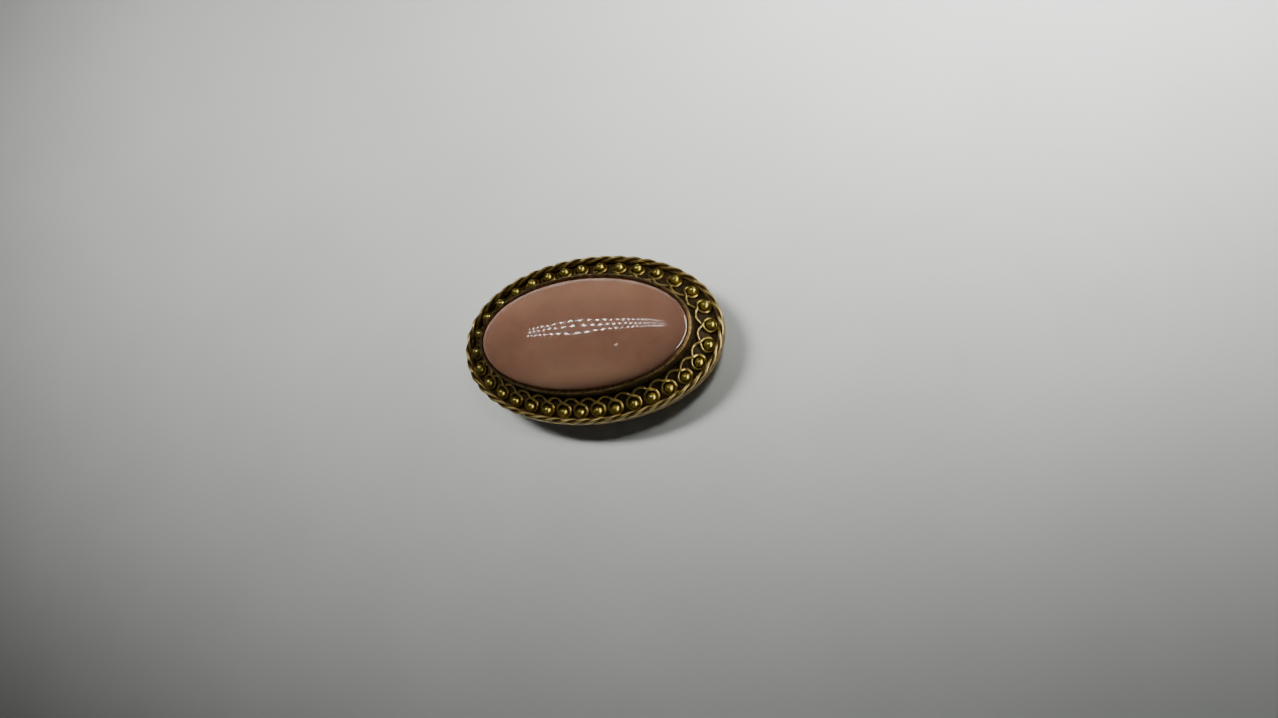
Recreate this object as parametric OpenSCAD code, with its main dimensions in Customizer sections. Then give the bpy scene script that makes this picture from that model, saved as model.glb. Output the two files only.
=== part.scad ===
// Oval brooch: a domed stone in a raised collet, a sloped gallery set with wire
// loops and granules, a two-strand twisted rope on the rim, and a pin on the back.
// It lies face up, on the two feet of its pin. X runs along its length.

/* [Outline] */
// Length over the rope
brooch_l = 37.5; // [37:0.1:39]
// Length of the part of the stone that shows
stone_l = 29.2; // [28.6:0.1:29.4]
// Width of the part of the stone that shows
stone_w = 15.3; // [14.7:0.1:17]

/* [Heights] */
// Underside of the back plate above the surface it rests on
plate_z = 3.6; // [3.3:0.05:3.9]
// Thickness of the back plate
plate_t = 0.6; // [0.5:0.1:0.8]
// Height of the plate's turned-up rim, which the rope lies on
rim_h = 0.6; // [0.4:0.05:0.7]
// Rise of the gallery slope
slope_rise = 1.65; // [1.5:0.05:1.8]
// Height of the collet wall above the gallery slope
collet_h = 2.35; // [2:0.05:2.8]

/* [Stone] */
// Rise of the dome above the collet
dome_h = 2.4; // [2:0.1:3.4]
// Fullness of the dome: 2 is an even curve, and more is flatter on top
dome_fullness = 2.4; // [2:0.1:2.8]

/* [Rope] */
// Diameter of one strand
strand_d = 0.41; // [0.37:0.01:0.45]
// Full turns of the twist round the rim
rope_turns = 22; // [18:1:24]

/* [Gallery] */
// Loops in the wire round the gallery, with one granule in each
loop_count = 33; // [30:1:34]
// Length of a loop down the slope
loop_l = 2.4; // [2.3:0.02:2.44]
// Width of a loop
loop_w = 2.26; // [2:0.02:2.3]
// Thickness of the wire
wire_d = 0.4; // [0.34:0.02:0.42]
// Height of the wire above the slope
wire_h = 0.45; // [0.4:0.01:0.46]
// Diameter of a granule
granule_d = 1.3; // [1:0.02:1.32]

/* [Pin] */
// Length of the base bar
base_l = 26; // [22:1:28]
// Width of the base bar and of its two feet
base_w = 4.6; // [4:0.2:6]
// Diameter of the pin stem
stem_d = 0.9; // [0.7:0.1:1]

/* [Hidden] */

// The gap between neighbouring pieces
gap = 0.05;

// How far the plate stays inside the rope, the rim starts inside the rope, the loops
// keep clear of the rim, and the rope is let into it
plate_inset = 0.15;
slope_clear = 0.06;
loop_clear = 0.21;
rope_sink = 0.1;

// The lip of the collet over the stone: its width, its reach outside the stone's
// hidden edge, and its depth down to the stone's widest line
lip_w = 0.62;
lip_cover = 0.3;
lip_depth = 0.95;

// Places across the border, measured out from the edge of the stone that shows
border = (brooch_l - stone_l) / 2;
rope_out = border - strand_d;
plate_out = border - plate_inset;
foot_out = border - 2 * strand_d - slope_clear;
wall_out = lip_w;
cup_out = lip_cover;

// Heights above the surface it rests on
seat_rise = 0.95;
plate_top = plate_z + plate_t;
rim_top = plate_top + rim_h;
rope_z = rim_top + strand_d - rope_sink;
slope_top = plate_top + slope_rise;
wall_top = slope_top + collet_h;
seat_z = plate_top + seat_rise;
edge_z = wall_top - gap;
girdle_z = wall_top - lip_depth;

// The gallery slope, and where the loops, the arches between them and the wire's
// crossings lie on it
slope_tilt = atan2(slope_rise, foot_out - wall_out);
loops_out = foot_out - loop_clear - loop_l / 2 * cos(slope_tilt);
tips_out = loops_out - loop_l / 2 * cos(slope_tilt);
arches_out = wall_out + wire_d * 0.7;
crossings_out = tips_out + gap;
function slope_z(out) = slope_top - (out - wall_out) * tan(slope_tilt);

// Facets: points round an oval, rings in a turn of the rope, and points round a
// loop or a granule
oval_n = 68;
turn_n = 6;
ball_n = 10;

// Cross-section of the setting: place across the border, height
SETTING_SECTION = [
    [plate_out, plate_z],
    [plate_out, rim_top],
    [foot_out, rim_top],
    [foot_out, plate_top],
    [wall_out, slope_top],
    [wall_out, wall_top - lip_w * 0.56],
    [wall_out * 0.8, wall_top - lip_w * 0.13],
    [wall_out * 0.5, wall_top],
];

// Cross-section of the hollow that holds the stone: place across the border, height
HOLLOW_SECTION = [
    [cup_out, seat_z],
    [cup_out, girdle_z],
    [gap, edge_z],
    [wall_out * 0.42, wall_top],
    [wall_out * 0.42, wall_top + 1],
];

// Side of the stone below its dome: place across the border, height
STONE_SIDE = [
    [cup_out - gap, seat_z + gap],
    [cup_out - gap, girdle_z - gap],
];

// The edge of the stone is an oval, and each line round the border is parallel to it
function outward(t) = let (n = [stone_w * cos(t), stone_l * sin(t)]) n / norm(n);
function around(out, t) =
    [stone_l / 2 * cos(t), stone_w / 2 * sin(t)] + out * outward(t);
function lifted(p, z) = [p[0], p[1], z];

// The same as a polygon, whose sides stay parallel as it grows, so its walls are flat
function corner(i) = around(0, (i + 0.5) * 360 / oval_n);
function side_normal(i) = let (d = corner(i + 1) - corner(i)) [d[1], -d[0]] / norm(d);
function mitre(i) = let (a = side_normal(i - 1), b = side_normal(i)) (a + b) / (1 + a * b);
function ring(out, z) = [for (i = [0 : oval_n - 1]) lifted(corner(i) + out * mitre(i), z)];

// Length run along such a line against its angle, to space things evenly on it
run_steps = 360;
function run_table(out) = [
    for (i = 0, run = 0; i <= run_steps; i = i + 1,
         run = run + norm(around(out, i * 360 / run_steps)
                          - around(out, (i - 1) * 360 / run_steps)))
        [run, i * 360 / run_steps]
];
function even_angles(out, n) =
    let (table = run_table(out), whole = table[run_steps][0])
    [for (i = [0 : n - 1]) lookup(i * whole / n, table)];

// A closed skin over rings with the same number of points. The ends are capped,
// or the last ring joins the first.
module skin(rings, closed = false) {
    n = len(rings[0]);
    m = len(rings);
    sides = [
        for (k = [0 : closed ? m - 1 : m - 2], i = [0 : n - 1])
            let (k2 = (k + 1) % m, i2 = (i + 1) % n)
            each [
                [k * n + i, k2 * n + i, k * n + i2],
                [k2 * n + i, k2 * n + i2, k * n + i2],
            ]
    ];
    caps = closed ? [] : [
        [for (i = [0 : n - 1]) i],
        [for (i = [n - 1 : -1 : 0]) (m - 1) * n + i],
    ];
    polyhedron([for (r = rings) each r], concat(sides, caps), convexity = 6);
}

// A wire with this cross-section swept once round the border. Each row of the route
// has the angle, the place across the border, the height, and the wire's turn. The
// rows are taken from the last to the first, so the skin faces outwards.
module round_wire(route, section) {
    skin([
        for (k = [len(route) - 1 : -1 : 0])
            let (row = route[k], p = around(row[1], row[0]), n = outward(row[0]))
            [for (q = section)
                let (
                    u = q[0] * cos(row[3]) - q[1] * sin(row[3]),
                    v = q[0] * sin(row[3]) + q[1] * cos(row[3])
                )
                lifted(p + n * u, row[2] + v)]
    ], closed = true);
}

// A solid oval skin through the rows of a cross-section
module turned(rows) {
    skin([for (row = rows) ring(row[0], row[1])]);
}

// The same with each pair of rows as a solid of its own
module stack(rows) {
    for (k = [1 : len(rows) - 1])
        hull() skin([for (row = [rows[k - 1], rows[k]]) ring(row[0], row[1])]);
}

// The plate with its rim, the slope and the collet with its turned-over lip, as one cup
module cup() {
    difference() {
        turned(SETTING_SECTION);
        stack(HOLLOW_SECTION);
    }
}

// Two strands twisted together: a figure of eight swept round the rim
module rope() {
    r = strand_d / 2;
    lobe = [for (a = [-80 : 80 : 80]) [r + r * cos(a), r * sin(a)]];
    waist = [0, r / 2];
    n = rope_turns * turn_n;
    angles = even_angles(rope_out, n);
    round_wire(
        [for (j = [0 : n - 1]) [angles[j], rope_out, rope_z, 360 * j / turn_n]],
        concat(lobe, [waist], [for (p = lobe) -p], [-waist])
    );
}

// The low arches of the looped wire, which join each loop to the next on the inner side.
// Three stations a loop: one on each side of its crossing, and the middle of the arch.
module arches() {
    r = wire_d / 2;
    crown = r * 0.6;
    sink = wire_d;
    top = wire_h * 0.7 / cos(slope_tilt);
    n = loop_count * 3;
    angles = even_angles(loops_out, n * 2);
    route = [
        for (j = [0 : n - 1])
            let (out = j % 3 == 1 ? arches_out : crossings_out)
            [angles[j * 2 + 1], out, slope_z(out), 0]
    ];
    round_wire(route, [[-r, -sink], [r, -sink], [crown, top], [-crown, top]]);
}

// Puts its children at an even spacing round the gallery slope. Their X points down
// the slope, away from the stone.
module down_the_slope(out) {
    for (t = even_angles(out, loop_count)) {
        n = outward(t);
        translate(lifted(around(out, t), slope_z(out)))
            rotate([0, slope_tilt, atan2(n[1], n[0])])
                children();
    }
}

// One loop of the wire with its granule, the foot sunk in the slope. The loop is
// pointed towards the stone, where the wire crosses itself.
module loop_and_granule() {
    sink = 0.3;
    inside = 0.06;
    shoulder = wire_h - wire_d / 2;
    // The widest point of the leaf shape sin(a) * sqrt(cos(a / 2))
    leaf_w = 0.86;
    l = loop_l / 2;
    w = loop_w / 2;
    r = granule_d / 2;
    shift = 0.13;
    granule_z = r * 0.54;
    function leaf(inset, z) = [
        for (i = [0 : ball_n - 1])
            let (a = i * 360 / ball_n)
            [(l - inset) * cos(a), (w - inset) / leaf_w * sin(a) * sqrt(abs(cos(a / 2))), z]
    ];
    function round(radius, z) = [
        for (i = [0 : ball_n - 1])
            let (a = i * 360 / ball_n) [shift + radius * cos(a), radius * sin(a), z]
    ];
    skin([
        leaf(0, -sink),
        leaf(0, shoulder),
        leaf(wire_d / 2, wire_h),
        leaf(wire_d, shoulder),
        leaf(wire_d, inside),
        round(r, granule_z),
        round(r * cos(45), granule_z + r * sin(45)),
        round(r * cos(78), granule_z + r * sin(78)),
    ]);
}

// All the soldered metal
module setting() color("darkgoldenrod") {
    union() {
        cup();
        rope();
        arches();
        down_the_slope(loops_out) loop_and_granule();
    }
}

// Height of the dome's curve at angle a of a quarter turn, for a dome of height 1
function quarter(a) = pow(1 - pow(cos(a), dome_fullness), 1 / dome_fullness);

// The cabochon: a flat back, a straight side inside the collet, and a low dome
module stone() color("rosybrown") {
    // The dome starts part of the way up the quarter turn, so its foot isn't upright
    start = 15;
    end = 87;
    steps = 9;
    foot = quarter(start);
    dome = [
        for (k = [0 : steps])
            let (
                a = start + (end - start) * k / steps,
                w = cos(a) / cos(start),
                z = edge_z + dome_h * (quarter(a) - foot) / (1 - foot)
            )
            [for (p = ring(0, z)) [p[0] * w, p[1] * w, p[2]]]
    ];
    side = [for (row = STONE_SIDE) ring(row[0], row[1])];
    skin(concat(side, dome));
}

// A block under the base bar that reaches the surface
module foot_block(x, l, top) {
    translate([x - l / 2, -base_w / 2, 0]) cube([l, base_w, top]);
}

// The pin finding, one plain piece: a base bar, a hinge foot, the stem, and a catch
module pin_back() color("goldenrod") {
    bar_t = 0.6;
    bar_z = plate_z - gap - bar_t;
    block_top = bar_z + bar_t / 2;
    foot_l = 2.4;
    catch_l = 1.8;
    end_gap = 0.6;
    foot_x = (base_l - foot_l) / 2 - end_gap;
    catch_x = (base_l - catch_l) / 2 - end_gap;
    stem_z = 1.05;
    tip_l = 1.6;
    tip_d = 0.2;
    stem_end = base_l / 2 + 0.4;
    slot_d = stem_d + 0.4;

    translate([-base_l / 2, -base_w / 2, bar_z]) cube([base_l, base_w, bar_t]);
    foot_block(-foot_x, foot_l, block_top);
    translate([-foot_x, 0, stem_z])
        rotate([0, 90, 0])
            cylinder(d = stem_d, h = foot_x + stem_end - tip_l, $fn = 32);
    translate([stem_end - tip_l, 0, stem_z])
        rotate([0, 90, 0])
            cylinder(d1 = stem_d, d2 = tip_d, h = tip_l, $fn = 32);
    difference() {
        foot_block(catch_x, catch_l, block_top);
        translate([catch_x - catch_l, 0, stem_z])
            rotate([0, 90, 0])
                cylinder(d = slot_d, h = catch_l * 2, $fn = 32);
        translate([catch_x - catch_l, 0, stem_z - slot_d / 2])
            cube([catch_l * 2, base_w, slot_d]);
    }
}

setting();
stone();
pin_back();
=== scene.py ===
"""Oval brooch: antiqued gold setting, domed clouded stone and a plain pin behind.

Lengths are in millimetres until a mesh is made. Places on the border are given as
they are in the part: how far outside the stone's edge, and how high.
"""

import bpy
import numpy as np
from mathutils import Matrix, Vector


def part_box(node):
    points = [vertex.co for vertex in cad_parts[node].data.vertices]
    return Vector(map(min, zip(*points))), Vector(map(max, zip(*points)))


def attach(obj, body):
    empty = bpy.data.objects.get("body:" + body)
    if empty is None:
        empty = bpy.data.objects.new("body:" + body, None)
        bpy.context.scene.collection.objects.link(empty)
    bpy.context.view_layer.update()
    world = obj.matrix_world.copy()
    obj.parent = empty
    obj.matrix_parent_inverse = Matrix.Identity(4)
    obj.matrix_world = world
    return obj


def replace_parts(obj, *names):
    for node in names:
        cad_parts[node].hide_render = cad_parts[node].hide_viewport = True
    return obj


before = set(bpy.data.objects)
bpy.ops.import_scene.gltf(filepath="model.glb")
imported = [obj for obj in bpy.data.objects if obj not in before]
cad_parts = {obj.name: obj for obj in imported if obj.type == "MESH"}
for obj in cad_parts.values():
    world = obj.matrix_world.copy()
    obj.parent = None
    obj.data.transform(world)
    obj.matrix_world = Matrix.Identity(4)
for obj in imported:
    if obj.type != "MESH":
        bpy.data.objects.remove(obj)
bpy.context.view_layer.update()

MM = 0.001
TURN = 2 * np.pi
# What the stone and the setting keep between them
GAP = 0.05
rng = np.random.default_rng(7)


# Sizes that come from the frame


def box_mm(node):
    """Lowest and highest corner of a CAD node, in millimetres."""
    low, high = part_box(node)
    return np.array(low) / MM, np.array(high) / MM


setting_low, setting_high = box_mm("setting")
stone_low, stone_high = box_mm("stone")

# How far the lip covers the stone, and how far below the lip's top the stone's side ends
LIP_COVER = 0.3
GIRDLE_DOWN = 0.95
# How far the stone reaches past its visible edge
stone_side = LIP_COVER - GAP
half_l = stone_high[0] - stone_side
half_w = stone_high[1] - stone_side
border = setting_high[0] - half_l
plate_z = setting_low[2]
wall_top = setting_high[2]
seat_z = stone_low[2] - GAP
girdle_z = wall_top - GIRDLE_DOWN
edge_z = wall_top - GAP
dome_h = stone_high[2] - edge_z

# Sizes of the stone and the metalwork, as in the part

DOME_FULLNESS = 2.4
# Degrees up its full curve at which the dome starts
DOME_START = 15
STRAND_D = 0.41
ROPE_TURNS = 22
LOOPS = 33
WIRE_D = 0.4
GRANULE_R = 0.65
PLATE_T = 0.6
RIM_H = 0.6
SLOPE_RISE = 1.65
PLATE_INSET = 0.15
FOOT_CLEAR = 0.06
ROPE_SINK = 0.1
LIP_W = 0.62
LIP_IN = 0.16

plate_top = plate_z + PLATE_T
rim_top = plate_top + RIM_H
plate_out = border - PLATE_INSET
foot_out = border - 2 * STRAND_D - FOOT_CLEAR
rope_out = border - STRAND_D
rope_z = rim_top + STRAND_D - ROPE_SINK
slope_top = plate_top + SLOPE_RISE
slope_tilt = np.arctan2(SLOPE_RISE, foot_out - LIP_W)


# Lines parallel to the stone's edge


def unit(v):
    """Vectors of length 1 in the same directions."""
    return v / np.linalg.norm(v, axis=-1, keepdims=True)


def even_angles(count):
    """Angles evenly round a turn."""
    return np.arange(count) * TURN / count


def outward(t):
    """Unit vectors across the border at angles t."""
    return unit(np.stack([half_w * np.cos(t), half_l * np.sin(t)], -1))


def leaning(t, across, up):
    """Vectors at angles t with these parts across the border and upwards."""
    return np.concatenate([outward(t) * across, np.full((len(t), 1), up)], 1)


def around(out, t, z):
    """Points at angles t, this far outside the stone's edge and this high."""
    out, t, z = np.broadcast_arrays(out, t, z)
    edge = np.stack([half_l * np.cos(t), half_w * np.sin(t)], -1)
    flat = edge + out[..., None] * outward(t)
    return np.concatenate([flat, z[..., None]], -1)


def run_table(out):
    """Angles round a line this far outside the stone's edge, and the length run to each."""
    t = np.linspace(0, TURN, 1 + 8 * 360)
    points = around(out, t, 0.0)
    steps = np.linalg.norm(np.diff(points, axis=0), axis=1)
    return t, np.concatenate([[0], np.cumsum(steps)])


def angles_at(out, lengths):
    """Angles at which the run along such a line has these lengths."""
    t, run = run_table(out)
    whole_turns, rest = np.divmod(lengths, run[-1])
    return np.interp(rest, run, t) + whole_turns * TURN


# Meshes


def make_piece(name, points, faces, material, slot, **layers):
    """A smooth piece on the root body. Each layer is a value at each point for its material."""
    mesh = bpy.data.meshes.new(name)
    mesh.from_pydata((points.reshape(-1, 3) * MM).tolist(), [], faces)
    mesh.validate()
    mesh.shade_smooth()
    for layer_name, values in layers.items():
        layer = mesh.attributes.new(layer_name, "FLOAT", "POINT")
        layer.data.foreach_set("value", np.asarray(values, np.float32).ravel())
    mesh.materials.append(material)
    piece = bpy.data.objects.new(name, mesh)
    bpy.context.scene.collection.objects.link(piece)
    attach(piece, "root")
    return piece


def metal_piece(name, points, faces, recess, blush):
    """A piece of the setting. Its first layer is 0 on what is rubbed bright and 1 in the dark: real patina
    in the hollows, with painted shade on undersides and on sides turned from the light, and lighter painted
    tops. blush is 1 where the yellow gilding has worn to a browner metal."""
    blush = np.broadcast_to(blush, np.shape(recess))
    return make_piece(name, points, faces, GOLD, "antique_gold", recess=recess, blush=blush)


def rubbed_and_shaded(side, fall, facing):
    """Patina and painted shade on something round: its value on the side, and how much less it is on top,
    which is painted lighter as if lit from above.
    """
    return np.clip(side - fall * facing, 0, 1)


def grid_faces(rows, columns, closed_rows):
    """Quads over a grid of points whose columns join up, and whose rows may too."""
    k = np.arange(rows if closed_rows else rows - 1)
    i = np.arange(columns)
    k, i = (a.ravel() for a in np.meshgrid(k, i, indexing="ij"))
    k2, i2 = (k + 1) % rows, (i + 1) % columns
    return np.stack([k * columns + i, k * columns + i2, k2 * columns + i2, k2 * columns + i], 1).tolist()


def skin_faces(rows, columns):
    """Quads over such a grid, with a face over its first row and one over its last."""
    last = (rows - 1) * columns
    ends = [list(range(columns))[::-1], [last + i for i in range(columns)]]
    return grid_faces(rows, columns, False) + ends


def tube(path, reference, radius, sides):
    """Points round a closed path, and for each the sine of its turn towards the reference."""
    along = unit(np.roll(path, -1, 0) - np.roll(path, 1, 0))
    side = unit(np.cross(along, reference))
    top = np.cross(side, along)
    a = even_angles(sides)
    ring = np.cos(a)[None, :, None] * side[:, None] + np.sin(a)[None, :, None] * top[:, None]
    lift = np.broadcast_to(np.sin(a), (len(path), sides))
    return path[:, None] + radius * ring, lift


def rounded(profile, steps=5):
    """A profile whose corners are turned into curves. Each row has place, height and reach."""
    rows = []
    for k, (out, z, reach) in enumerate(profile):
        corner = np.array([out, z])
        if reach == 0 or k in (0, len(profile) - 1):
            rows.append(corner)
            continue
        before = np.array(profile[k - 1][:2])
        after = np.array(profile[k + 1][:2])
        start = corner + unit(before - corner) * reach
        end = corner + unit(after - corner) * reach
        for s in np.linspace(0, 1, steps):
            rows.append((1 - s) ** 2 * start + 2 * s * (1 - s) * corner + s * s * end)
    return np.array(rows)


# Materials


def new_material(name):
    """A material with a Principled shader, its tree and the shader."""
    material = bpy.data.materials.new(name)
    material.use_nodes = True
    tree = material.node_tree
    return material, tree, tree.nodes["Principled BSDF"]


def add(tree, kind, inputs=None, **settings):
    """A node with these settings and input values. An input may be another node's output."""
    node = tree.nodes.new(kind)
    for name, value in settings.items():
        setattr(node, name, value)
    for name, value in (inputs or {}).items():
        if isinstance(value, bpy.types.NodeSocket):
            tree.links.new(value, node.inputs[name])
        else:
            node.inputs[name].default_value = value
    return node


def noise(tree, per_mm, detail=3.0, rough=0.5, warp=0.0):
    """Noise with about this many features a millimetre, from 0 to 1."""
    place = add(tree, "ShaderNodeTexCoord").outputs["Object"]
    values = {
        "Vector": place,
        "Scale": per_mm / MM,
        "Detail": detail,
        "Roughness": rough,
        "Distortion": warp,
    }
    return add(tree, "ShaderNodeTexNoise", values).outputs["Fac"]


def span(tree, value, low, high, to_low=0.0, to_high=1.0):
    """value moved from the range low to high into another range, and kept in it."""
    values = {"Value": value, "From Min": low, "From Max": high, "To Min": to_low, "To Max": to_high}
    return add(tree, "ShaderNodeMapRange", values).outputs["Result"]


def total(tree, *values):
    """The sum of values."""
    result = values[0]
    for value in values[1:]:
        result = add(tree, "ShaderNodeMath", {0: result, 1: value}, operation="ADD").outputs[0]
    return result


def bump(tree, height, depth, strength):
    """Normals of a surface this uneven. The depth is in millimetres."""
    values = {"Height": height, "Distance": depth * MM, "Strength": strength}
    return add(tree, "ShaderNodeBump", values).outputs["Normal"]


def ramp(tree, value, stops):
    """Colours along a value. Each stop has its position and colour."""
    node = add(tree, "ShaderNodeValToRGB", {"Fac": value})
    points = node.color_ramp.elements
    while len(points) < len(stops):
        points.new(0.5)
    for point, (position, colour) in zip(points, stops):
        point.position = position
        point.color = (*colour, 1)
    return node.outputs["Color"]


def antique_gold():
    """Gilt metal: rubbed bright where raised, brown in the hollows, with fine wear, and with painted shade
    and lighter painted tops from each piece's layer.
    """
    material, tree, shader = new_material("antique_gold")
    # Real patina in the hollows together with painted shade: darker on undersides and sides, lighter on
    # tops
    recess = add(tree, "ShaderNodeAttribute", attribute_name="recess").outputs["Fac"]
    blush = add(tree, "ShaderNodeAttribute", attribute_name="blush").outputs["Fac"]
    mottle = span(tree, noise(tree, 1.6, detail=4.0, rough=0.6), 0.3, 0.7, -0.16, 0.16)
    specks = span(tree, noise(tree, 7.0, detail=2.0), 0.35, 0.65, -0.07, 0.07)
    # The painted shade from the layer, with real mottling and specks of wear added
    dirt_and_shade = total(tree, recess, mottle, specks)
    gilt = [
        (0.0, (0.80, 0.70, 0.17)),
        (0.3, (0.50, 0.41, 0.09)),
        (0.6, (0.16, 0.105, 0.035)),
        (1.0, (0.024, 0.014, 0.006)),
    ]
    worn = [
        (0.0, (0.76, 0.59, 0.26)),
        (0.3, (0.46, 0.34, 0.14)),
        (0.6, (0.16, 0.095, 0.045)),
        (1.0, (0.024, 0.012, 0.006)),
    ]
    # For colours this node has its inputs at 6 and 7 and its output at 2
    mix = add(
        tree,
        "ShaderNodeMix",
        {"Factor": blush, 6: ramp(tree, dirt_and_shade, gilt), 7: ramp(tree, dirt_and_shade, worn)},
        data_type="RGBA",
    )
    tree.links.new(mix.outputs[2], shader.inputs["Base Color"])
    # Dirt and the painted shade are duller than metal
    tree.links.new(span(tree, dirt_and_shade, 0.0, 1.0, to_low=0.29, to_high=0.5), shader.inputs["Roughness"])
    tree.links.new(span(tree, dirt_and_shade, 0.6, 1.0, to_low=1.0, to_high=0.35), shader.inputs["Metallic"])
    grain = bump(tree, noise(tree, 5.0, detail=4.0, rough=0.6), depth=0.03, strength=0.5)
    tree.links.new(grain, shader.inputs["Normal"])
    return material


def rose_stone():
    """Polished clouded quartz: muted rose with paler tan clouds, slightly translucent. Its lower edge is
    painted paler to lift the shade there.
    """
    material, tree, shader = new_material("rose_stone")
    # The layer holds the clouds and, along the lower edge, painted light
    cloud = add(tree, "ShaderNodeAttribute", attribute_name="cloud").outputs["Fac"]
    drift = span(tree, noise(tree, 0.3, warp=0.8), 0.3, 0.7, -0.14, 0.14)
    veils = span(tree, noise(tree, 1.1, warp=1.5), 0.45, 0.8, 0.0, 0.08)
    colour = ramp(
        tree,
        total(tree, cloud, drift, veils),
        [
            (0.0, (0.166, 0.085, 0.056)),
            (0.35, (0.212, 0.109, 0.072)),
            (1.0, (0.266, 0.146, 0.093)),
        ],
    )
    tree.links.new(colour, shader.inputs["Base Color"])
    shader.inputs["Roughness"].default_value = 0.04
    shader.inputs["IOR"].default_value = 1.54
    shader.inputs["Subsurface Weight"].default_value = 0.95
    shader.inputs["Subsurface Radius"].default_value = (1.0, 0.7, 0.55)
    shader.inputs["Subsurface Scale"].default_value = 5.0 * MM
    return material


def finding_brass():
    """Plain satin brass, slightly dull."""
    material, tree, shader = new_material("finding_brass")
    dull = span(tree, noise(tree, 0.8, detail=4.0, rough=0.6), 0.3, 0.7)
    colour = ramp(tree, dull, [(0.0, (0.56, 0.40, 0.17)), (1.0, (0.36, 0.25, 0.11))])
    tree.links.new(colour, shader.inputs["Base Color"])
    tree.links.new(span(tree, dull, 0.0, 1.0, to_low=0.3, to_high=0.5), shader.inputs["Roughness"])
    shader.inputs["Metallic"].default_value = 1.0
    tree.links.new(bump(tree, noise(tree, 6.0), depth=0.02, strength=0.4), shader.inputs["Normal"])
    return material


GOLD = antique_gold()


# The setting


def setting_cup():
    """Back plate with its rim, the slope, and the collet with its rounded lip, as one closed skin."""
    # Place across the border, height, reach of the rounding, patina and painted shade, blush. The shade is
    # painted darker under the plate and down the slope, on the collet's wall and lip, and as a painted
    # shadow in the groove at the lip's inner edge.
    table = [
        (plate_out - 0.5, plate_z, 0.0, 0.45, 1.0),
        (plate_out, plate_z, 0.14, 0.45, 1.0),
        (plate_out, rim_top, 0.12, 0.5, 1.0),
        (foot_out, rim_top, 0.08, 0.7, 0.6),
        (foot_out, plate_top, 0.1, 1.0, 0.0),
        (LIP_W, slope_top, 0.16, 0.95, 0.0),
        (LIP_W, wall_top - 1.2, 0.0, 0.9, 0.6),
        (LIP_W, wall_top - 0.45, 0.0, 0.75, 1.0),
        (LIP_W, wall_top, 0.34, 0.46, 1.0),
        (LIP_IN + 0.06, wall_top - 0.03, 0.08, 0.5, 1.0),
        (LIP_IN, wall_top - 0.5, 0.0, 1.0, 1.0),
        (LIP_COVER, girdle_z, 0.0, 1.0, 1.0),
        (LIP_COVER, seat_z, 0.0, 1.0, 1.0),
    ]
    rows = rounded([row[:3] for row in table])
    n = 360
    points = around(rows[:, :1], even_angles(n)[None, :], rows[:, 1:])
    nearest = [min(table, key=lambda row: np.hypot(row[0] - out, row[1] - z)) for out, z in rows]
    recess = np.repeat([[row[3]] for row in nearest], n, 1)
    blush = np.repeat([[row[4]] for row in nearest], n, 1)
    return metal_piece("setting_cup", points, skin_faces(len(rows), n), recess, blush)


def rope():
    """Two strands twisted together round the rim, each its own tube."""
    steps_a_turn, sides = 26, 14
    r = STRAND_D / 2
    n = ROPE_TURNS * steps_a_turn
    whole = run_table(rope_out)[1][-1]
    t = angles_at(rope_out, np.arange(n) * whole / n)
    centre = around(rope_out, t, rope_z)
    strands = []
    for k in range(2):
        turn = (TURN * ROPE_TURNS * np.arange(n) / n + k * np.pi)[:, None]
        radial = leaning(t, np.cos(turn), 0.0) + np.sin(turn) * [0.0, 0.0, 1.0]
        points, lift = tube(centre + r * radial, radial, r, sides)
        # Painted shade: each strand darker below the rope's middle and on its sides, lighter on top
        underside_shade = np.clip((rope_z - points[..., 2]) / STRAND_D, 0, 1)
        recess = rubbed_and_shaded(0.28 + 0.5 * underside_shade, 0.5, lift)
        strands.append(metal_piece(f"rope_strand_{k + 1}", points, grid_faces(n, sides, True), recess, 0.8))
    return strands


def on_slope(along, down, height):
    """Points on the gallery: along it, down from the collet's foot, and square above it."""
    t = angles_at(LOOPS_OUT, along)
    out = LIP_W + down * np.cos(slope_tilt) + height * np.sin(slope_tilt)
    z = slope_top - down * np.sin(slope_tilt) + height * np.cos(slope_tilt)
    return around(out, t, z), leaning(t, np.sin(slope_tilt), np.cos(slope_tilt))


# How far outside the stone's edge the places along the gallery are measured
LOOPS_OUT = 2.2
gallery_run = run_table(LOOPS_OUT)[1][-1]
pitch = gallery_run / LOOPS

# Down the slope: the arches' middles and shoulders, the wire's crossings, the loops' centres
# and the granules
ARCH_DOWN = 0.08
SHOULDER_DOWN = 0.25
CROSS_DOWN = 0.75
LOOP_DOWN = 1.83
GRANULE_DOWN = 1.97
# Above the slope: the middle of the wire where it rests, at an arch and its shoulders, and
# where it crosses over itself, and the middle of a granule
RESTING = WIRE_D / 2 - 0.01
ARCH_HIGH = 0.28
SHOULDER_HIGH = 0.24
CROSS_HIGH = RESTING + 0.2
GRANULE_HIGH = 0.35
# How far a shoulder is on the way to the next loop
SHOULDER_ALONG = 0.26
# Half the width and half the length of a loop, and where the wire passes round it
LOOP_R = (0.93, 0.98)
LOOP_ANGLES = np.radians([-52, -26, 0, 32, 64, 90, 116, 148, 180, 206, 232])

# The wire was bent by hand: how far each loop has crept along from an even spacing,
# in loops, with the loops counted from the right-hand end
CREEP = [
    (0, 0.23),
    (2, 0.36),
    (3.5, 0.59),
    (8, 0.86),
    (11, 0.76),
    (14, 0.8),
    (22, 0.47),
    (26, 0.26),
    (33, 0.23),
]


def loop_places():
    """Where the middle of each loop is along the gallery."""
    k = np.arange(LOOPS)
    creep = np.interp(k, *zip(*CREEP)) + rng.uniform(-0.02, 0.02, LOOPS)
    return (k + creep) * pitch


places = loop_places()


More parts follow.
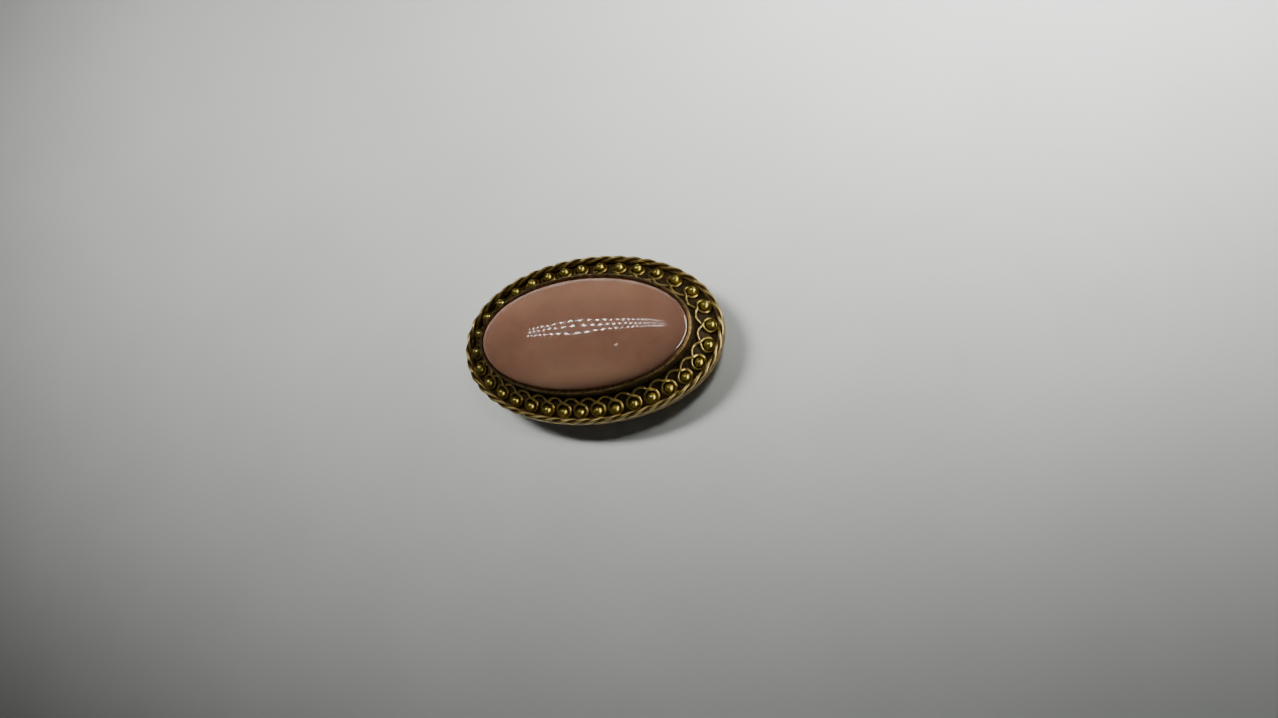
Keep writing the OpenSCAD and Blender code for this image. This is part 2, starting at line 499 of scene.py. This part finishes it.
def loop_stations(k):
    """Where the wire goes on its way from one arch's middle through loop k: along, down, height."""
    middle = places[k]
    before = places[k - 1] - (gallery_run if k == 0 else 0)
    after = places[(k + 1) % LOOPS] + (gallery_run if k == LOOPS - 1 else 0)
    r = np.array(LOOP_R) * rng.uniform(0.96, 1.03)
    return [
        ((before + middle) / 2, ARCH_DOWN, ARCH_HIGH),
        (middle - (middle - before) * SHOULDER_ALONG, SHOULDER_DOWN, SHOULDER_HIGH),
        (middle, CROSS_DOWN, CROSS_HIGH),
        *[(middle + r[0] * np.cos(a), LOOP_DOWN + r[1] * np.sin(a), RESTING) for a in LOOP_ANGLES],
        (middle, CROSS_DOWN, RESTING),
        (middle + (after - middle) * SHOULDER_ALONG, SHOULDER_DOWN, SHOULDER_HIGH),
    ]


def smooth_closed(points, steps, shift):
    """A curve through points that repeat after the last one, moved on by shift."""
    before = np.roll(points, 1, 0)
    before[0] -= shift
    after = np.roll(points, -1, 0)
    after[-1] += shift
    later = np.roll(points, -2, 0)
    later[-2:] += shift
    s = (np.arange(steps) / steps)[None, :, None]
    p0, p1, p2, p3 = (q[:, None] for q in (before, points, after, later))
    curve = 0.5 * (
        2 * p1 + (p2 - p0) * s + (2 * p0 - 5 * p1 + 4 * p2 - p3) * s**2 + (3 * p1 - p0 - 3 * p2 + p3) * s**3
    )
    return curve.reshape(-1, points.shape[1])


def gallery_wire():
    """One wire bent in loops all the way round the gallery, crossing itself at each."""
    steps, sides = 4, 10
    stations = np.array([row for k in range(LOOPS) for row in loop_stations(k)])
    route = smooth_closed(stations, steps, np.array([gallery_run, 0.0, 0.0]))
    path, square = on_slope(*route.T)
    points, lift = tube(path, square, WIRE_D / 2, sides)
    faces = grid_faces(len(path), sides, True)
    # Painted shade on the wire's sides, lighter on its top
    return metal_piece("gallery_wire", points, faces, rubbed_and_shaded(0.64, 0.6, lift), 0.6)


def granules():
    """A round grain soldered in each loop."""
    rings, sides, pole = 12, 20, 0.08
    polar = np.linspace(pole, np.pi - pole, rings)
    a = even_angles(sides)
    ball = np.stack(
        [
            np.sin(polar)[:, None] * np.cos(a),
            np.sin(polar)[:, None] * np.sin(a),
            np.repeat(np.cos(polar)[:, None], sides, 1),
        ],
        -1,
    ).reshape(-1, 3)
    points, faces, recess = [], [], []
    for k in range(LOOPS):
        r = GRANULE_R * rng.uniform(0.95, 1.04)
        down = GRANULE_DOWN + rng.uniform(-0.06, 0.06)
        centre, square = on_slope(places[k : k + 1], down, GRANULE_HIGH)
        first = len(points) * len(ball)
        points.append(centre[0] + r * ball)
        faces.extend([[first + i for i in f] for f in skin_faces(rings, sides)])
        # Painted shade on each granule's side towards the slope, lighter where it faces away from it
        recess.append(rubbed_and_shaded(0.18, 0.55, ball @ square[0]))
    return metal_piece("granules", np.concatenate(points), faces, np.concatenate(recess), 0.0)


# The stone

# The stone's tone between clouds, from 0 for the darkest to 1 for the palest
CLEAR = 0.3

# Clouds in the stone: middle, reach each way, and strength, which is below 0 for a darker one. The broad
# pale one along the lower edge is painted light that lifts the stone's shade there.
CLOUDS_AND_PAINTED_LIGHT = [
    (-8.5, 3.8, 3.6, 2.0, 0.4),
    (4.5, 5.0, 5.0, 2.2, 0.5),
    (-3.0, 5.5, 4.0, 2.0, 0.25),
    # Painted light: paler along the lower edge to lift the dome's shade
    (2.0, -7.6, 10.0, 2.6, 1.4),
    (-13.0, -0.5, 4.0, 4.0, -0.3),
]


def cabochon():
    """Flat back, straight side and a full, low dome polished smooth."""
    rings, n = 90, 288
    fullness = DOME_FULLNESS
    # Across the dome, width to the power of the fullness and height to the same power add up to 1
    start = np.cos(np.radians(DOME_START))
    foot = (1 - start**fullness) ** (1 / fullness)
    widths = np.cos(np.linspace(0, np.pi / 2, rings))[:-1]
    inside = (widths * start) ** fullness
    heights = edge_z + dome_h * ((1 - inside) ** (1 / fullness) - foot) / (1 - foot)
    slopes = dome_h / (1 - foot) * start**fullness * widths ** (fullness - 1)
    slopes = slopes * (1 - inside) ** (1 / fullness - 1)
    t = even_angles(n)
    rows = [around(stone_side, t, z) for z in (stone_low[2], girdle_z - GAP)]
    normals = [leaning(t, 1.0, 0.0)] * 2
    for w, z, slope in zip(widths, heights, slopes):
        row = around(0.0, t, z)
        row[:, :2] *= w
        rows.append(row)
        steep = [slope * np.cos(t) / half_l, slope * np.sin(t) / half_w, np.ones(n)]
        normals.append(unit(np.stack(steep, 1)))
    points = np.concatenate([*rows, [[0, 0, stone_high[2]]]])
    normals = np.concatenate([*normals, [[0, 0, 1]]])
    last = (len(rows) - 1) * n
    faces = [*grid_faces(len(rows), n, False), list(range(n))[::-1]]
    faces.extend([last + i, last + (i + 1) % n, len(points) - 1] for i in range(n))
    # Clouds, and painted light along the lower edge, for the stone's material
    cloud = CLEAR + sum(
        strength * np.exp(-(((points[:, 0] - x) / reach_x) ** 2) - ((points[:, 1] - y) / reach_y) ** 2)
        for x, y, reach_x, reach_y, strength in CLOUDS_AND_PAINTED_LIGHT
    )
    stone = make_piece("cabochon", points, faces, rose_stone(), "rose_stone", cloud=cloud)
    stone.data.normals_split_custom_set_from_vertices(normals.tolist())
    return stone


# The pin finding keeps its own mesh, with its edges eased


def pin_finding():
    """Material and eased edges for the pin on the back."""
    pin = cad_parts["pin_back"]
    pin.data.materials.clear()
    pin.data.materials.append(finding_brass())
    ease = pin.modifiers.new("ease", "BEVEL")
    ease.width = 0.12 * MM
    ease.segments = 2
    ease.limit_method = "ANGLE"
    ease.angle_limit = np.radians(40)
    ease.use_clamp_overlap = True


# The camera stands where the photo's did


def photo_camera():
    """Fitted to the photo: 1278 by 718 pixels, the object's middle a little left of centre."""
    width, height = 1278, 718
    azimuth, elevation, roll = np.radians([51.5, 66.0, 53.0])
    distance = 160.0
    pixels_per_mm = 7.33
    # A point on the brooch's upright axis, and the pixel that shows it
    target = np.array([0, 0, 4.3])
    target_pixel = np.array([592.3, 340.35])

    back = np.array(
        [np.sin(azimuth) * np.cos(elevation), -np.cos(azimuth) * np.cos(elevation), np.sin(elevation)]
    )
    level = unit(np.cross([0, 0, 1], back))
    upright = np.cross(back, level)
    right = level * np.cos(roll) - upright * np.sin(roll)
    up = level * np.sin(roll) + upright * np.cos(roll)
    off = (target_pixel - np.array([width, height]) / 2) / pixels_per_mm
    place = target + back * distance - right * off[0] + up * off[1]

    data = bpy.data.cameras.new("photo_camera")
    data.sensor_width = 36
    data.lens = data.sensor_width * pixels_per_mm * distance / width
    data.clip_start = 0.005
    data.clip_end = 10
    camera = bpy.data.objects.new("photo_camera", data)
    turned = Matrix([right, up, back]).transposed().to_4x4()
    camera.matrix_world = Matrix.Translation(Vector(place) * MM) @ turned
    bpy.context.scene.collection.objects.link(camera)
    bpy.context.scene.camera = camera


# Floor and light


def floor():
    """A pale matt sheet under the brooch."""
    material, tree, shader = new_material("floor_paper")
    stops = [(0.3, (0.555, 0.57, 0.55)), (0.7, (0.585, 0.60, 0.58))]
    tone = ramp(tree, noise(tree, 0.05, detail=2.0), stops)
    tree.links.new(tone, shader.inputs["Base Color"])
    shader.inputs["Roughness"].default_value = 0.9
    shader.inputs["Specular IOR Level"].default_value = 0.1
    mesh = bpy.data.meshes.new("floor")
    reach = 1.5
    corners = [(-reach, -reach, 0), (reach, -reach, 0), (reach, reach, 0), (-reach, reach, 0)]
    mesh.from_pydata(corners, [], [(0, 1, 2, 3)])
    mesh.materials.append(material)
    sheet = bpy.data.objects.new("floor", mesh)
    bpy.context.scene.collection.objects.link(sheet)


def soft_light(name, place, at, size, watts, spread):
    """An area light that looks at a place and isn't mirrored. Its width runs along x, size is
    its width and height in metres, and spread is in degrees."""
    data = bpy.data.lights.new(name, "AREA")
    data.shape = "RECTANGLE"
    data.size, data.size_y = size
    data.energy = watts
    data.color = (1, 1, 0.985)
    data.spread = np.radians(spread)
    lamp = bpy.data.objects.new(name, data)
    back = unit(np.array(place) - np.array(at))
    along = np.array([1.0, 0.0, 0.0])
    side = unit(along - np.dot(along, back) * back)
    turned = Matrix([side, np.cross(back, side), back]).transposed().to_4x4()
    lamp.matrix_world = Matrix.Translation(place) @ turned
    lamp.visible_glossy = False
    bpy.context.scene.collection.objects.link(lamp)


# The lamp above, in metres: a long bar of small round lamps in three staggered rows
BAR_Z = 0.300
BAR_ENDS = (-0.209, 0.099)
# Place of each row at the bar's left end and at its right end
BAR_ROWS = [(0.082, 0.069), (0.099, 0.087), (0.113, 0.107)]
BAR_MARGIN = 0.006
BAR_W = 0.045
LAMP_STEP = 0.0115
LAMP_R = 0.0021
# One lamp apart from the bar
LONE_LAMP = (-0.051, 0.005)

# The strip far to the right, in metres
STRIP_X = 0.5
STRIP_Y = (-0.38, 0.4)
STRIP_Z = (0.155, 0.19)


def glowing(name, points, faces, colour, strength):
    """A stage piece that gives light of its own to what mirrors it."""
    mesh = bpy.data.meshes.new(name)
    mesh.from_pydata(points, [], faces)
    material = bpy.data.materials.new(name)
    material.use_nodes = True
    tree = material.node_tree
    tree.nodes.clear()
    glow = add(tree, "ShaderNodeEmission", {"Color": (*colour, 1), "Strength": strength})
    out = add(tree, "ShaderNodeOutputMaterial")
    tree.links.new(glow.outputs[0], out.inputs["Surface"])
    mesh.materials.append(material)
    piece = bpy.data.objects.new(name, mesh)
    piece.visible_diffuse = False
    bpy.context.scene.collection.objects.link(piece)


def lamp_spots():
    """The lamps and the bar that holds them, which the stone and the metal mirror."""
    left, right = BAR_ENDS
    count = int((right - left) / LAMP_STEP) + 1
    spots = [LONE_LAMP]
    for k, (y_left, y_right) in enumerate(BAR_ROWS):
        stagger = 0.5 * (k % 2)
        for i in range(count):
            x = left + LAMP_STEP * (i + stagger)
            spots.append((x, y_left + (y_right - y_left) * (x - left) / (right - left)))
    sides = 12
    points, faces = [], []
    # Clockwise, so that each lamp faces down
    for x, y in spots:
        faces.append([len(points) + i for i in range(sides)])
        points.extend((x + LAMP_R * np.cos(a), y + LAMP_R * np.sin(a), BAR_Z) for a in -even_angles(sides))
    glowing("lamp_spots", points, faces, (1, 0.94, 0.91), strength=60.0)
    low, high = BAR_ROWS[0], BAR_ROWS[-1]
    body_z = BAR_Z + 0.001
    corners = [
        (left, low[0] - BAR_MARGIN, body_z),
        (left, high[0] + BAR_MARGIN, body_z),
        (right, high[1] + BAR_MARGIN, body_z),
        (right, low[1] - BAR_MARGIN, body_z),
    ]
    glowing("lamp_bar", corners, [(0, 1, 2, 3)], (1, 0.95, 0.93), strength=0.4)


def right_strip():
    """A low warm strip that the stone's right edge and the metal mirror."""
    (near, far), (low, high) = STRIP_Y, STRIP_Z
    corners = [(STRIP_X, near, low), (STRIP_X, far, low), (STRIP_X, far, high), (STRIP_X, near, high)]
    glowing("right_strip", corners, [(0, 1, 2, 3)], (1, 0.90, 0.76), strength=34.0)


def studio():
    """The lamp bar and its light, a second lamp above right, a low strip far right, a dim room."""
    lamp_spots()
    middle = (sum(BAR_ENDS) / 2, sum(BAR_ROWS[1]) / 2, BAR_Z + 0.002)
    bar_size = (BAR_ENDS[1] - BAR_ENDS[0], BAR_W)
    soft_light("bar_light", middle, (0.070, 0.046, 0), bar_size, watts=0.23, spread=46)
    soft_light("above_right", (0.15, 0.11, 0.26), (0.075, 0.078, 0), (0.1, 0.1), watts=0.17, spread=32)
    right_strip()
    world = bpy.data.worlds.new("room")
    world.use_nodes = True
    background = world.node_tree.nodes["Background"]
    background.inputs["Color"].default_value = (0.5, 0.5, 0.5, 1)
    background.inputs["Strength"].default_value = 0.08
    bpy.context.scene.world = world


def build():
    """Everything, the camera first."""
    photo_camera()
    metal = [setting_cup(), *rope(), gallery_wire(), granules()]
    for piece in metal:
        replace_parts(piece, "setting")
    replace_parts(cabochon(), "stone")
    pin_finding()
    floor()
    studio()


build()
